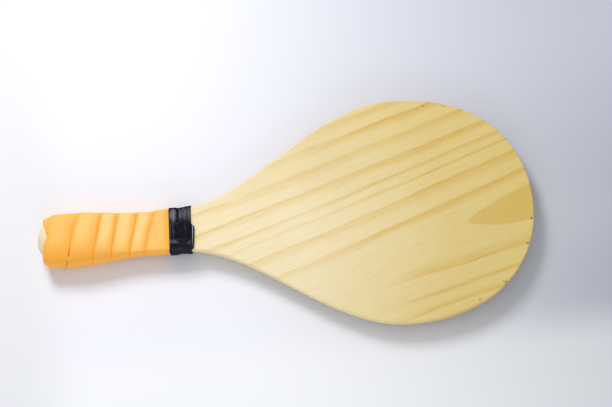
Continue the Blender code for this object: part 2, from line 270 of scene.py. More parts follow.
@dataclass(frozen=True)
class PaddleForm:
    """The paddle's outline and the shape of its handle.

    The neck, the shoulder, the widest place and the waist are each a length from the butt, a half
    width and the slope of the edge there.
    """

    length: float
    board_thickness: float
    board_middle: float
    arris: float = 1.2 * MM
    neck: Triple = (131.0 * MM, 18.9 * MM, 0.13)
    shoulder: Triple = (213.0 * MM, 58.6 * MM, 0.658)
    widest: Triple = (309.0 * MM, 99.1 * MM, 0.0)
    tip_power_along: float = 2.32
    tip_power_across: float = 2.10
    butt_width: float = 40.4 * MM
    butt_thickness: float = 21.8 * MM
    butt_rounding: float = 8.0 * MM
    bare_powers: Pair = (2.0, 2.3)
    wound_powers: Pair = (3.2, 4.0)
    taper_start: float = 30.0 * MM
    waist: Triple = (88.0 * MM, 15.7 * MM, 0.0)
    butt_corner_across: float = 14.4 * MM
    butt_corner_through: float = 7.9 * MM
    least_flat: float = 0.12
    corner_growth: float = 0.5

    @classmethod
    def from_frame(cls) -> "PaddleForm":
        """Take the length and the board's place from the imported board."""
        low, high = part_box("blade_board")
        return cls(high.x - low.x, high.z - low.z, (high.z + low.z) / 2)

    def world(self, x: float, y: float, z: float) -> Vector:
        """Return the frame's point for a length from the butt, a side and a height over the middle."""
        return Vector((x - self.length / 2, y, z + self.board_middle))

    def pine_origin(self) -> Triple:
        """Return the butt's middle on the board's front, from which the wood's patterns are laid."""
        return tuple(self.world(0.0, 0.0, self.board_thickness / 2))

    def tapered(self, x: float) -> float:
        """Return how far the handle has thinned from the butt to the waist, from 0 to 1."""
        return smooth_step((x - self.taper_start) / (self.waist[0] - self.taper_start))

    def half_width(self, x: float, butt_power: float = 2.0) -> float:
        """Half of the board's width.

        Args:
            x: Length from the butt.
            butt_power: Bluntness of the butt in plan.

        Returns:
            The half width at x.
        """
        if x < self.waist[0]:
            full = blend(self.butt_width / 2, self.waist[1], self.tapered(x))
            return full * rounded_end(x, self.butt_width / 2, butt_power)
        for start, end in ((self.waist, self.neck), (self.neck, self.shoulder), (self.shoulder, self.widest)):
            if x < end[0]:
                return hermite(x, start, end)
        along = min((x - self.widest[0]) / (self.length - self.widest[0]), 1.0)
        return self.widest[1] * (1 - along ** self.tip_power_along) ** (1 / self.tip_power_across)

    def section(self, x: float, across: float, through: float) -> Section:
        """The handle's section at a length from the butt.

        Args:
            x: The length.
            across: Bluntness of the butt in plan.
            through: Its bluntness from the side.

        Returns:
            The section.
        """
        share = self.tapered(x)
        width = self.half_width(x, across)
        height = blend(self.butt_thickness, self.board_thickness, share) / 2
        height *= rounded_end(x, self.butt_rounding, through)
        most = 1 - self.least_flat
        return Section(width, height, min(blend(self.butt_corner_across, self.arris, share), most * width),
                       min(blend(self.butt_corner_through, self.arris, share), most * height))

    def bare_section(self, x: float) -> Section:
        """Return the section of the bare wood at x."""
        return self.section(x, *self.bare_powers)

    def wound_section(self, x: float) -> Section:
        """Return the section that the grip and the tape are wound on at x."""
        return self.section(x, *self.wound_powers)

    def round_point(self, section: Section, station: float, height: float = 0.0) -> Pair:
        """A point round a section, or on a layer over it.

        Args:
            section: The section.
            station: Place round it, 24 to a turn from the middle of the front towards +Y.
            height: Distance out from the section. Its corners grow by less, as a stretched layer's do.

        Returns:
            The point's Y and its height over the middle of the board.
        """
        quarter = STATIONS / 4
        first, last = CORNER
        station %= STATIONS
        side = 1 if station <= 2 * quarter else -1
        from_front = station if side == 1 else STATIONS - station
        face = 1 if from_front <= quarter else -1
        place = from_front if face == 1 else 2 * quarter - from_front
        width, rise = section.half_width + height, section.half_height + height
        corner_y = section.corner_y + self.corner_growth * height
        corner_z = section.corner_z + self.corner_growth * height
        if place <= first:
            return side * (width - corner_y) * place / first, face * rise
        if place >= last:
            return side * width, face * (rise - corner_z) * (quarter - place) / (quarter - last)
        angle = math.pi / 2 * (1 - (place - first) / (last - first))
        return (side * (width - corner_y + corner_y * math.cos(angle)),
                face * (rise - corner_z + corner_z * math.sin(angle)))


# ---- finishes


class Nodes:
    """A Principled material whose nodes are added one after another."""

    def __init__(self, name: str) -> None:
        """Start a material with one Principled shader.

        Args:
            name: The material's name.
        """
        self.material = bpy.data.materials.new(name)
        self.material.use_nodes = True
        self.tree = self.material.node_tree
        self.shader = self.tree.nodes["Principled BSDF"]
        self.place = self.add("ShaderNodeTexCoord", "Object")

    def feed(self, socket: Socket, value: object) -> None:
        """Link an output to a socket, or set the socket's own value.

        Args:
            socket: The input to feed.
            value: An output, a number, a vector or a colour.
        """
        if isinstance(value, bpy.types.NodeSocket):
            self.tree.links.new(value, socket)
        else:
            socket.default_value = (*value, 1.0) if socket.type == "RGBA" else value

    def add(self, kind: str, output: int | str, feeds: dict[int | str, object] | None = None,
            **settings: object) -> Socket:
        """Add a node.

        Args:
            kind: Its type.
            output: Number or name of the output that is wanted.
            feeds: What its inputs are fed, by their numbers or names.
            **settings: Its properties.

        Returns:
            The output.
        """
        node = self.tree.nodes.new(kind)
        for name, value in settings.items():
            setattr(node, name, value)
        for name, value in (feeds or {}).items():
            self.feed(node.inputs[name], value)
        return node.outputs[output]

    def calc(self, operation: str, *terms: object) -> Socket:
        """Return the value of a Math node."""
        return self.add("ShaderNodeMath", 0, dict(enumerate(terms)), operation=operation)

    def total(self, *terms: object) -> Socket:
        """Return the sum of several values."""
        return reduce(lambda first, second: self.calc("ADD", first, second), terms)

    def product(self, *factors: object) -> Socket:
        """Return the product of several values."""
        return reduce(lambda first, second: self.calc("MULTIPLY", first, second), factors)

    def mark(self, name: str) -> Socket:
        """Return the value of one of the piece's own attributes."""
        return self.add("ShaderNodeAttribute", "Fac", attribute_name=name)

    def distance(self, vector: Socket, point: Sequence[float]) -> Socket:
        """Return how far a vector lies from a point."""
        return self.add("ShaderNodeVectorMath", "Value", {0: vector, 1: point}, operation="DISTANCE")

    def laid(self, vector: Socket, shift: Sequence[float] = (0, 0, 0), turn: float = 0.0,
             stretch: Sequence[float] = (1, 1, 1)) -> Socket:
        """Return a vector scaled, turned about Z and moved, in that order."""
        return self.add("ShaderNodeMapping", 0, {"Vector": vector, "Location": shift,
                                                 "Rotation": (0, 0, turn), "Scale": stretch})

    def fitted(self, value: object, low: float, high: float, to_low: float = 0.0, to_high: float = 1.0,
               kind: str = "SMOOTHSTEP") -> Socket:
        """Return a value fitted from one range into another and clamped there."""
        return self.add("ShaderNodeMapRange", 0, dict(enumerate((value, low, high, to_low, to_high))),
                        interpolation_type=kind)

    def ramp(self, value: Socket, span: Pair, stops: Stops, kind: str = "EASE") -> Socket:
        """Pick a colour from a row of stops.

        Args:
            value: The value that picks.
            span: The values at the row's two ends.
            stops: The value and the colour of each stop.
            kind: How the colours run from stop to stop.

        Returns:
            The colour.
        """
        output = self.add("ShaderNodeValToRGB", 0, {0: self.fitted(value, *span, kind="LINEAR")})
        band = output.node.color_ramp
        band.interpolation = kind
        while len(band.elements) < len(stops):
            band.elements.new(1.0)
        for element, (place, colour) in zip(band.elements, sorted(stops)):
            element.position = (place - span[0]) / (span[1] - span[0])
            element.color = (*colour, 1.0)
        return output

    def mix(self, share: object, first: object, second: object, kind: str = "MIX") -> Socket:
        """Return a mix of two colours."""
        return self.add("ShaderNodeMix", 2, {0: share, 6: first, 7: second}, data_type="RGBA",
                        blend_type=kind)

    def relief(self, height: Socket, depth: float, over: Socket | None) -> Socket:
        """Return the normal of a relief of a depth in metres, laid over another normal if there is one."""
        feeds = {"Height": height, "Distance": depth}
        return self.add("ShaderNodeBump", 0, feeds if over is None else {**feeds, "Normal": over})

    def set(self, **values: object) -> None:
        """Feed the shader's sockets, named with underscores for spaces."""
        for name, value in values.items():
            self.feed(self.shader.inputs[name.replace("_", " ")], value)


Patterns = dict[str, Socket]


@dataclass(frozen=True)
class Noise:
    """A noise pattern: its cells per metre, how fine and rough it is, and the vector it is laid on."""

    name: str
    cells: Triple
    detail: float = 2.0
    roughness: float = 0.5
    on: str = "place"

    def value(self, nodes: Nodes, patterns: Patterns) -> Socket:
        """Return the noise's value, from 0 to 1."""
        laid = nodes.laid(patterns[self.on], stretch=self.cells)
        return nodes.add("ShaderNodeTexNoise", "Fac", {"Vector": laid, "Scale": 1.0, "Detail": self.detail,
                                                       "Roughness": self.roughness})


@dataclass(frozen=True)
class Fit:
    """A pattern's value fitted from one range into another, or as it is if the range is empty."""

    pattern: str
    low: float = 0.0
    high: float = 0.0
    to_low: float = 0.0
    to_high: float = 1.0
    kind: str = "SMOOTHSTEP"

    def value(self, nodes: Nodes, patterns: Patterns) -> Socket:
        """Return the fitted value."""
        raw, ends = patterns[self.pattern], (self.low, self.high, self.to_low, self.to_high)
        return raw if self.low == self.high else nodes.fitted(raw, *ends, self.kind)


@dataclass(frozen=True)
class Wash:
    """A colour laid over the ones before, as strongly as the product of its fits says.

    The colour can be a pattern's name. A wash of the kind MULTIPLY tints what lies under it.
    """

    colour: Colour | str
    fits: tuple[Fit, ...]
    kind: str = "MIX"


def wash(colour: Colour | str, *fits: Fit) -> Wash:
    """Return a wash that covers what lies under it."""
    return Wash(colour, fits)


def tint(colour: Colour, *fits: Fit) -> Wash:
    """Return a wash that tints what lies under it."""
    return Wash(colour, fits, "MULTIPLY")


@dataclass(frozen=True)
class Finish:
    """A procedural finish: its patterns, and the washes, roughness and relief that go by them.

    The patterns are the piece's own marks, the noises, and the sums: the first pattern times the
    factor, plus the second. With an origin in metres there are also x, y and z, in millimetres from
    it, and with a slope the noises can be laid on "grain", which slants so in plan. The roughness is
    the sum of its fits.
    """

    name: str
    base: Colour | str
    roughness: float | tuple[Fit, ...]
    washes: tuple[Wash, ...] = ()
    noises: tuple[Noise, ...] = ()
    marks: tuple[str, ...] = ()
    sums: tuple[tuple[str, str, float, str], ...] = ()
    reliefs: tuple[tuple[str, float], ...] = ()
    origin: Triple | None = None
    slope: float = 0.0
    sockets: tuple[tuple[str, object], ...] = ()

    def patterns(self, nodes: Nodes) -> Patterns:
        """Add the nodes of the patterns.

        Args:
            nodes: The material under way.

        Returns:
            The patterns by their names.
        """
        found = {"place": nodes.place} | {name: nodes.mark(name) for name in self.marks}
        if self.origin is not None:
            in_mm = nodes.laid(nodes.place, [-part / MM for part in self.origin], stretch=[1 / MM] * 3)
            parts = nodes.add("ShaderNodeSeparateXYZ", 0, {0: in_mm}).node.outputs
            found |= {"in_mm": in_mm} | dict(zip("xyz", parts))
        if self.slope:
            found["grain"] = nodes.laid(nodes.place, turn=-math.atan(self.slope))
        if "along" in found:
            found["flow"] = nodes.add("ShaderNodeCombineXYZ", 0, {0: found["along"], 1: found["across"]})
        for pattern in self.noises:
            found[pattern.name] = pattern.value(nodes, found)
        for name, first, factor, second in self.sums:
            found[name] = nodes.calc("MULTIPLY_ADD", found[first], factor, found[second])
        return found

    def build(self) -> Material:
        """Build the finish.

        Returns:
            The new material.
        """
        nodes = Nodes(self.name)
        found = self.patterns(nodes)
        colour, rough, normal = found.get(self.base, self.base), self.roughness, None
        for layer in self.washes:
            share = nodes.product(*(fit.value(nodes, found) for fit in layer.fits))
            colour = nodes.mix(share, colour, found.get(layer.colour, layer.colour), layer.kind)
        if isinstance(rough, tuple):
            rough = nodes.total(*(fit.value(nodes, found) for fit in rough))
        nodes.set(Base_Color=colour, Roughness=rough, **dict(self.sockets))
        for name, depth in self.reliefs:
            normal = nodes.relief(found[name], depth, normal)
        if normal is not None:
            nodes.set(Normal=normal)
        return nodes.material


@dataclass(frozen=True)
class GrowthRing:
    """One year's late wood: where it is darkest, how far it fades below and above, how dark it is."""

    edge: float
    fade: float
    drop: float
    depth: float


@dataclass(frozen=True)
class RingField:
    """The growth rings over a part of the face, and how their levels run across it.

    Levels are in millimetres across the rings. Out from the origin they fall by the slope, and faster
    and faster by the bow, and the fan draws them together. Down the board's side they fall by the lean.
    """

    origin: float
    slope: float
    bow: float
    fan: float
    lift: float
    lean: float
    span: Pair
    rings: tuple[GrowthRing, ...]
    core: float = 0.3
    line_width: float = 0.9

    def level(self, nodes: Nodes, found: Patterns) -> Socket:
        """How high a place lies across the rings.

        Args:
            nodes: The material under way.
            found: Its patterns, among them x, z and the wavering y called across.

        Returns:
            The level.
        """
        out = nodes.calc("SUBTRACT", found["x"], self.origin)
        spread = nodes.product(found["across"], nodes.calc("MULTIPLY_ADD", out, self.fan, 1.0))
        fall = nodes.product(out, nodes.calc("MULTIPLY_ADD", out, self.bow, self.slope))
        lift = nodes.calc("MULTIPLY_ADD", found["z"], self.lean, self.lift)
        return nodes.calc("ADD", nodes.calc("SUBTRACT", spread, fall), lift)

    def shades(self, nodes: Nodes, found: Patterns) -> list[Socket]:
        """How dark the late wood is, and how dark its crisp edges are.

        Args:
            nodes: The material under way.
            found: Its patterns.

        Returns:
            The two shades, from 0 to 1.
        """
        level = self.level(nodes, found)
        ramps = []
        for crisp in (False, True):
            stops = []
            for ring in self.rings:
                fade, drop = (self.line_width, self.line_width) if crisp else (ring.fade, ring.drop)
                stops += [(ring.edge - fade, (0.0,) * 3), (ring.edge - self.core, (ring.depth,) * 3),
                          (ring.edge + self.core, (ring.depth,) * 3), (ring.edge + drop, (0.0,) * 3)]
            ramps.append(nodes.ramp(level, self.span, stops))
        return ramps


@dataclass(frozen=True)
class Speck:
    """A dark speck on the board's front: its place, radius and darkness."""

    x: float
    y: float
    radius: float
    depth: float


@dataclass(frozen=True)
class PineFinish(Finish):
    """Sanded pine with the broad, slanting growth rings of a plain-sawn board, and a crown at its tip.

    Lengths are in millimetres. The crown lies between two lines that start at crown_from: the lower
    one has a square, a slope and a start, and the upper one a power, a height and a start.
    """

    # Tone from pale by the neck to honey at the tip: partly the wood's own tone, partly a painted falloff of
    # the lamp's light.
    early: Stops = (
        (226.75, (0.905, 0.775, 0.490)), (351.8, (0.762, 0.596, 0.240)), (425.0, (0.745, 0.572, 0.200)))
    early_span: Pair = (120.0, 425.0)
    # Deeper honey towards both long edges: partly the wood's own tone, partly painted shade on the lower
    # side.
    sides_tone_and_shade: tuple[Fit, ...] = (
        Fit("y", 0.0, 100.0, 0.0, 34.0, "LINEAR"), Fit("y", -30.0, -95.0, 0.0, 25.0, "LINEAR"))
    wander_height: Fit = Fit("x", 130, 300, 9.0, 4.0)
    feather_height: float = 1.5
    upper: RingField = RingField(280.0, 0.338, 0.000211, 0.000452, 0.0, 0.9, (-60.0, 130.0), rows(
        GrowthRing, (-23.6, 8.5, 2.8, 0.88), (-3.3, 11.0, 3.0, 0.75), (11.2, 2.6, 1.6, 0.75),
        (21.3, 4.4, 2.2, 0.78), (37.0, 8.5, 2.6, 0.92), (55.3, 8.5, 3.2, 0.80), (73.8, 8.5, 3.0, 0.90),
        (88.5, 7.5, 3.2, 0.60)))
    lower: RingField = RingField(380.0, 0.1534, 0.000339, 0.0015, 48.4, 0.0, (-60.0, 20.0), rows(
        GrowthRing, (1.1, 1.9, 10.5, 0.70), (-16.1, 3.0, 3.8, 0.65), (-28.2, 2.6, 6.0, 0.60),
        (-38.0, 4.0, 5.0, 0.45)))
    lower_part: Fit = Fit("x", 285, 335)
    late_fits: tuple[Fit, ...] = (Fit("x", 215, 310, 0.62, 1.0), Fit("streak", 0.25, 0.75, 0.72, 1.1))
    crown_from: float = 365.7
    crown_below: Triple = (0.0042, -0.251, -18.67)
    crown_above: Triple = (0.72, 1.663, -17.57)
    crown_softness: float = 0.8
    crown_point: float = 0.35
    crown_edge: Pair = (-0.3, 1.5)
    specks: tuple[Speck, ...] = rows(
        Speck, (421.2, -18.7, 1.5, 0.95), (414.9, -40.3, 1.4, 0.85), (392.4, -72.2, 1.5, 0.75),
        (390.4, -71.4, 1.2, 0.45), (368.8, -85.3, 1.7, 0.50), (341.1, 91.9, 1.9, 0.35),
        (359.4, 90.3, 1.6, 0.40), (356.6, 91.4, 1.4, 0.30), (375.2, 85.2, 1.7, 0.55),
        (288.4, -5.0, 1.3, 0.18))
    speck_core: float = 0.3

    def crown(self, nodes: Nodes, found: Patterns) -> Socket:
        """How far a place lies inside the darker crown at the tip.

        Args:
            nodes: The material under way.
            found: Its patterns.

        Returns:
            The share, from 0 to 1.
        """
        square, slope, start = self.crown_below
        power, height, foot = self.crown_above
        out = nodes.calc("MAXIMUM", nodes.calc("SUBTRACT", found["x"], self.crown_from), 0.0)
        below = nodes.calc("MULTIPLY_ADD", nodes.calc("MULTIPLY_ADD", out, square, slope), out, start)
        above = nodes.calc("MULTIPLY_ADD", nodes.calc("POWER", out, power), height, foot)
        depth = nodes.product(nodes.calc("SUBTRACT", above, found["across"]), self.crown_softness)
        depth = nodes.calc("MINIMUM", depth, nodes.calc("SUBTRACT", found["across"], below))
        depth = nodes.calc("MINIMUM", depth, nodes.product(out, self.crown_point))
        return nodes.fitted(depth, *self.crown_edge)

    def patterns(self, nodes: Nodes) -> Patterns:
        """Add the rings, the crown, the pale-to-honey tone with its painted light falloff, and the specks to
        the patterns.

        Args:
            nodes: The material under way.

        Returns:
            The patterns by their names.
        """
        found = super().patterns(nodes)
        wander, feather = (nodes.calc("SUBTRACT", found[name], 0.5) for name in ("wander", "feather"))
        waves = nodes.product(wander, self.wander_height.value(nodes, found))
        found["across"] = nodes.total(found["y"], waves, nodes.product(feather, self.feather_height))
        found["crown"] = self.crown(nodes, found)
        part = self.lower_part.value(nodes, found)
        late, found["line"] = (
            nodes.calc("MAXIMUM", high, nodes.product(low, part))
            for high, low in zip(self.upper.shades(nodes, found), self.lower.shades(nodes, found)))
        late = nodes.product(late, *(fit.value(nodes, found) for fit in self.late_fits))
        found["late"] = nodes.calc("MINIMUM", late, 1.0)
        # partly the wood's tone, partly painted light falloff along the board and painted shade on its lower
        # side
        tone_and_falloff = nodes.total(found["x"], *(fit.value(nodes, found) for fit in self.sides_tone_and_shade))
        found["early"] = nodes.ramp(tone_and_falloff, self.early_span, self.early, "LINEAR")
        found["clean"] = nodes.product(*(
            nodes.fitted(nodes.distance(found["in_mm"], (speck.x, speck.y, 0.0)), speck.radius,
                         self.speck_core * speck.radius, 1.0, 1.0 - speck.depth) for speck in self.specks))
        return found


@dataclass(frozen=True)
class PaperFinish(Finish):
    """Paper with painted light and shade, greying along Y. Its greys and their span are in millimetres."""

    greys: Stops = (
        (-130.0, (0.66, 0.68, 0.71)), (-85.0, (0.41, 0.43, 0.49)), (0.0, (0.50, 0.51, 0.575)),
        (160.0, (0.60, 0.61, 0.69)))
    grey_span: Pair = (-200.0, 200.0)

    def patterns(self, nodes: Nodes) -> Patterns:
        """Add the greys and the distance from the origin to the patterns.

        Args:
            nodes: The material under way.

        Returns:
            The patterns by their names.
        """
        found = super().patterns(nodes)
        away = nodes.distance(found["in_mm"], (0.0, 0.0, 0.0))
        return found | {"grey": nodes.ramp(found["y"], self.grey_span, self.greys), "away": away}


# Pine for the board. The first washes are its crown, its late wood and the crisp edges of that, then
# come streaks, fibres and clouds, and then a darker rim (partly edge dirt, partly painted shade), a
# painted warm reflection on the lower side face, a darker patch by the neck's upper side, and the specks.
BOARD_PINE = PineFinish(
    "plain_sawn_pine", "early", (Fit("streak", 0.3, 0.7, 0.44, 0.56),),
    slope=0.338,
    marks=("rim",),
    noises=(Noise("wander", (16, 55, 55), 1.5, on="grain"), Noise("cloud", (9, 30, 30), on="grain"),
            Noise("feather", (110, 900, 900), 2.0, 0.6, "grain"), Noise("streak", (14, 420, 420), on="grain"),
            Noise("fibre", (60, 2600, 2600), 3.0, 0.65, "grain")),
    washes=(tint((0.925, 0.815, 0.52), Fit("crown"), Fit("cloud", 0.3, 0.7, 0.75, 1.0)),
            tint((0.91, 0.785, 0.46), Fit("late")),
            tint((0.82, 0.74, 0.60), Fit("line"), Fit("streak", 0.35, 0.65, 0.15, 0.55)),
            tint((0.91, 0.785, 0.46), Fit("streak", 0.45, 0.8, 0.0, 0.16)),
            tint((0.77, 0.68, 0.50), Fit("fibre", 0.46, 0.70, 0.0, 0.34)),
            tint((1.04, 1.04, 1.10), Fit("cloud", 0.5, 0.8, 0.0, 0.25)),
            # darker rim: partly edge dirt, partly painted shade
            tint((0.74, 0.68, 0.60), Fit("rim"), Fit("y", -30, 40, 0.08, 0.6)),
            # painted warm reflection on the lower side face
            tint((0.99, 0.955, 0.86), Fit("rim"), Fit("y", -2, -14)),
            # darker patch on the upper side by the neck
            tint((0.94, 0.91, 0.83), Fit("y", 5, 45), Fit("x", 310, 240)),
            wash((0.16, 0.12, 0.06), Fit("clean", 1.0, 0.0, kind="LINEAR"))),
    reliefs=(("late", 0.00008), ("fibre", 0.00004)))

# Straight-grained pine for the cheeks, greenish grey at the bare butt: partly grime, partly painted shade
# where the end rounds away from the light.
CHEEK_PINE = Finish(
    "straight_grained_pine", (0.82, 0.72, 0.47), 0.55,
    noises=(Noise("rings", (6, 260, 260)), Noise("fibre", (60, 2400, 2400), 3.0, 0.6),
            Noise("patch", (260, 260, 260), 3.0, 0.6)),
    sums=(("butt_grime_and_shade", "patch", 3.0, "x"),),
    washes=(wash((0.79, 0.68, 0.44), Fit("rings", 0.42, 0.62)),
            tint((0.78, 0.66, 0.48), Fit("fibre", 0.5, 0.8, 0.0, 0.3)),
            # grime and painted shade at the butt end
            wash((0.40, 0.42, 0.31), Fit("butt_grime_and_shade", 1.2, 3.2, 0.65, 0.0))),
    reliefs=(("fibre", 0.00005),))

# Matt orange foam with a painted highlight, pale along the middle of its turns on the front, painted
# shade in deeper orange at its bends, deeper orange where light glows between its lower side and the floor,
# and a pale backing with painted dark shade in its open slit.
ORANGE_FOAM = Finish(
    "orange_foam_strip", (0.955, 0.470, 0.080), 0.68,
    marks=("across", "along", "edge", "front", "backing_and_shade", "low"),
    noises=(Noise("stretch", (22, 2.2, 1), on="flow"), Noise("pores", (2600, 2600, 2600), 2.0, 0.7),
            Noise("lumps", (130, 130, 130))),
    # painted highlight: pale along the middle of each turn on the front
    washes=(wash((0.985, 0.675, 0.255), Fit("across", 0.02, 0.22), Fit("across", 0.98, 0.5),
                 Fit("front", 0.70, 1.0, 0.10, 1.0), Fit("along", 0.3, 1.9, 0.35, 1.0),
                 Fit("along", 5.1, 4.6, 0.45, 1.0), Fit("stretch", 0.3, 0.7, 0.86, 1.06)),
            wash((0.900, 0.370, 0.040), Fit("lumps", 0.5, 0.85, 0.0, 0.2)),
            # painted shade: deeper orange at each turn's bent edge, before the part the next turn covers, and
            # underneath
            wash((0.900, 0.370, 0.040), Fit("edge", 0.0, 1.0, 0.0, 0.7, "LINEAR")),
            wash((1.0, 0.430, 0.045), Fit("low", 0.0, 1.0, 0.0, 0.75, "LINEAR")),
            wash((0.95, 0.88, 0.88), Fit("backing_and_shade", 0.2, 0.7)),
            # painted shade in the dark part of the slit
            wash((0.30, 0.12, 0.03), Fit("backing_and_shade", -0.2, -0.7))),
    reliefs=(("lumps", 0.00015), ("pores", 0.00004)),
    sockets=(("Specular_IOR_Level", 0.20), ("Sheen_Weight", 0.45), ("Sheen_Roughness", 0.5),
             ("Sheen_Tint", (1.0, 0.62, 0.20))))

# Black tape, dusty in patches, with painted sheen in grey patches where a softbox would reflect, and a
# painted bluish-white highlight along the fold of its loose end.
BLACK_TAPE = Finish(
    "black_vinyl_tape", (0.001, 0.001, 0.006),
    (Fit("smear", 0.3, 0.75, 0.22, 0.36), Fit("low", 0.0, 1.0, 0.0, 0.4, "LINEAR")),
    marks=("across", "along", "painted_sheen", "fold", "low"),
    noises=(Noise("pulled", (46, 22, 1), 2.0, 0.55, "flow"), Noise("skin", (1500, 1500, 1500), 2.0, 0.6),
            Noise("smear", (190, 190, 190), 3.0, 0.6)),
    washes=(wash((0.007, 0.007, 0.013), Fit("smear", 0.45, 0.75)),
            # painted sheen: grey patches where a softbox would reflect
            wash((0.150, 0.162, 0.200), Fit("painted_sheen"), Fit("smear", 0.3, 0.6, 0.55, 1.1),
                 Fit("pulled", 0.35, 0.62, 0.55, 1.15)),
            # painted highlight along the fold
            wash((0.52, 0.58, 0.68), Fit("fold", 0.45, 0.9))),
    reliefs=(("pulled", 0.00010), ("skin", 0.00001)),
    sockets=(("Specular_IOR_Level", 0.10),))

# Pale paper under the paddle with painted light and shade: lighter in front, darker at the far left, greying
# towards the tip, and plain further off.
PAPER = PaperFinish(
    "studio_paper", (0.91, 0.915, 0.98), 0.9,
    origin=(0.0, 0.0, 0.0),
    sums=(("way", "y", 0.25, "x"),),
    # painted light and shade of the backdrop, fading to plain paper further off
    washes=(wash((0.95, 0.96, 0.99), Fit("y", -70, -130)), wash((0.84, 0.85, 0.885), Fit("x", -170, -240)),
            wash("grey", Fit("way", -100, 360)), wash((0.80, 0.80, 0.82), Fit("away", 330, 800))),
    sockets=(("Specular_IOR_Level", 0.1),))

# Bright drawn wire, as brads are made of.
BRIGHT_WIRE = Finish(
    "bright_wire", (0.60, 0.60, 0.62), (Fit("drawn", 0.3, 0.7, 0.28, 0.42),),
    noises=(Noise("drawn", (6000, 6000, 300)),),
    washes=(wash((0.44, 0.44, 0.45), Fit("drawn", 0.3, 0.7)),),
    reliefs=(("drawn", 0.00002),),
    sockets=(("Metallic", 1.0),))


# ---- the pieces


@dataclass(frozen=True)
class Nick:
    """A small dent in the board's arris: its place, and its size along the edge and inwards."""

    x: float
    y: float
    reach: float = 1.6 * MM
    depth: float = 0.35 * MM


@dataclass
class PineBoard:
    """The board: blade, neck and tang in one piece, with softened arrises and a few nicks."""

    form: PaddleForm
    finish: Finish
    butt_samples: int = 40
    side_samples: int = 400
    tip_samples: int = 200
    outline_points: int = 960
    arris_segments: int = 5
    land: float = 0.5 * MM
    worn_band: float = 7.0 * MM
    nicks: tuple[Nick, ...] = rows(
        Nick, (0.4222, -0.0190, 0.9 * MM), (0.4160, -0.0408, 1.0 * MM), (0.3930, -0.0732, 1.3 * MM, 0.5 * MM),
        (0.3695, -0.0870, 1.1 * MM), (0.3600, 0.0918, 0.9 * MM), (0.3757, 0.0850, 1.0 * MM))
    nick_through: float = 2.2 * MM
    nick_drop: float = 0.4

    def outline(self) -> list[Vector]:
        """Sample the board's edge closely, from the butt along +Y to the tip and back.

        Returns:
            The edge's points.
        """
        form = self.form
        radius, widest = form.butt_width / 2, form.widest[0]
        butt = [radius * (1 - math.cos(math.pi / 2 * i / self.butt_samples))
                for i in range(self.butt_samples)]
        sides = [blend(radius, widest, i / self.side_samples) for i in range(self.side_samples)]
        tip = [widest + (form.length - widest) * math.sin(math.pi / 2 * i / self.tip_samples)
               ** (2 / form.tip_power_along) for i in range(self.tip_samples + 1)]
        upper = [Vector((x, form.half_width(x), 0.0)) for x in butt + sides + tip]
        return upper + [Vector((point.x, -point.y, 0.0)) for point in upper[-2::-1]]

    def shape(self) -> Shape:
        """Lay a disc on the outline, raise it to the board's thickness, soften its arrises and wear it.

        Returns:
            The board's shape, in its place.
        """
        path = self.outline()
        ways = ways_along(path)
        bm = bmesh.new()
        bmesh.ops.create_circle(bm, cap_ends=True, segments=self.outline_points, radius=1.0)
        order = sorted(bm.verts, key=lambda vert: math.atan2(vert.co.y, vert.co.x))
        step = 0
        for number, vert in enumerate(order):
            way = ways[-1] * number / len(order)
            while ways[step + 1] < way:
                step += 1
            share = (way - ways[step]) / (ways[step + 1] - ways[step])
            point = path[step].lerp(path[step + 1], share)
            vert.co = (point.x, point.y, -self.form.board_thickness / 2)
        raised = bmesh.ops.extrude_face_region(bm, geom=bm.faces[:])["geom"]
        bmesh.ops.translate(bm, verts=[item for item in raised if isinstance(item, bmesh.types.BMVert)],
                            vec=(0, 0, self.form.board_thickness))
        rims = [edge for edge in bm.edges if abs(edge.verts[0].co.z - edge.verts[1].co.z) < MM]
        bmesh.ops.bevel(bm, geom=rims, affect="EDGES", offset=self.form.arris, offset_type="OFFSET",
                        segments=self.arris_segments, profile=0.5, material=-1)
        bmesh.ops.recalc_face_normals(bm, faces=bm.faces)
        broad = [face for face in bm.faces if abs(face.normal.z) > 0.99 and len(face.verts) > 4]
        for width in (self.land, self.worn_band):
            bmesh.ops.inset_region(bm, faces=broad, thickness=width, use_even_offset=True)
        self.wear(bm)
        return bm

    def wear(self, bm: Shape) -> None:
        """Mark the rim, press the nicks into the front's arris and put the board in its place.

        Args:
            bm: The board's shape, with its middle at height 0.
        """
        rim = bm.verts.layers.float.new("rim")
        half = self.form.board_thickness / 2
        centre = Vector((self.form.widest[0], 0.0))
        for vert in bm.verts:
            vert[rim] = smooth_step((half - abs(vert.co.z)) / self.form.arris)
            for nick in self.nicks:
                away = math.hypot(vert.co.x - nick.x, vert.co.y - nick.y)
                if away > 3 * nick.reach or vert.co.z < 0:
                    continue
                push = nick.depth * bell(away, nick.reach) * bell(vert.co.z - half, self.nick_through)
                inward = (centre - Vector((nick.x, nick.y))).normalized()
                vert.co += push * Vector((inward.x, inward.y, -self.nick_drop))
        for vert in bm.verts:
            vert.co = self.form.world(*vert.co)

    def build(self) -> Piece:
        """Return the board, tied to the frame."""
        piece = finished_piece("pine_board", self.shape(), self.finish.build())
        return seat(piece, "pine_board", "blade_board")


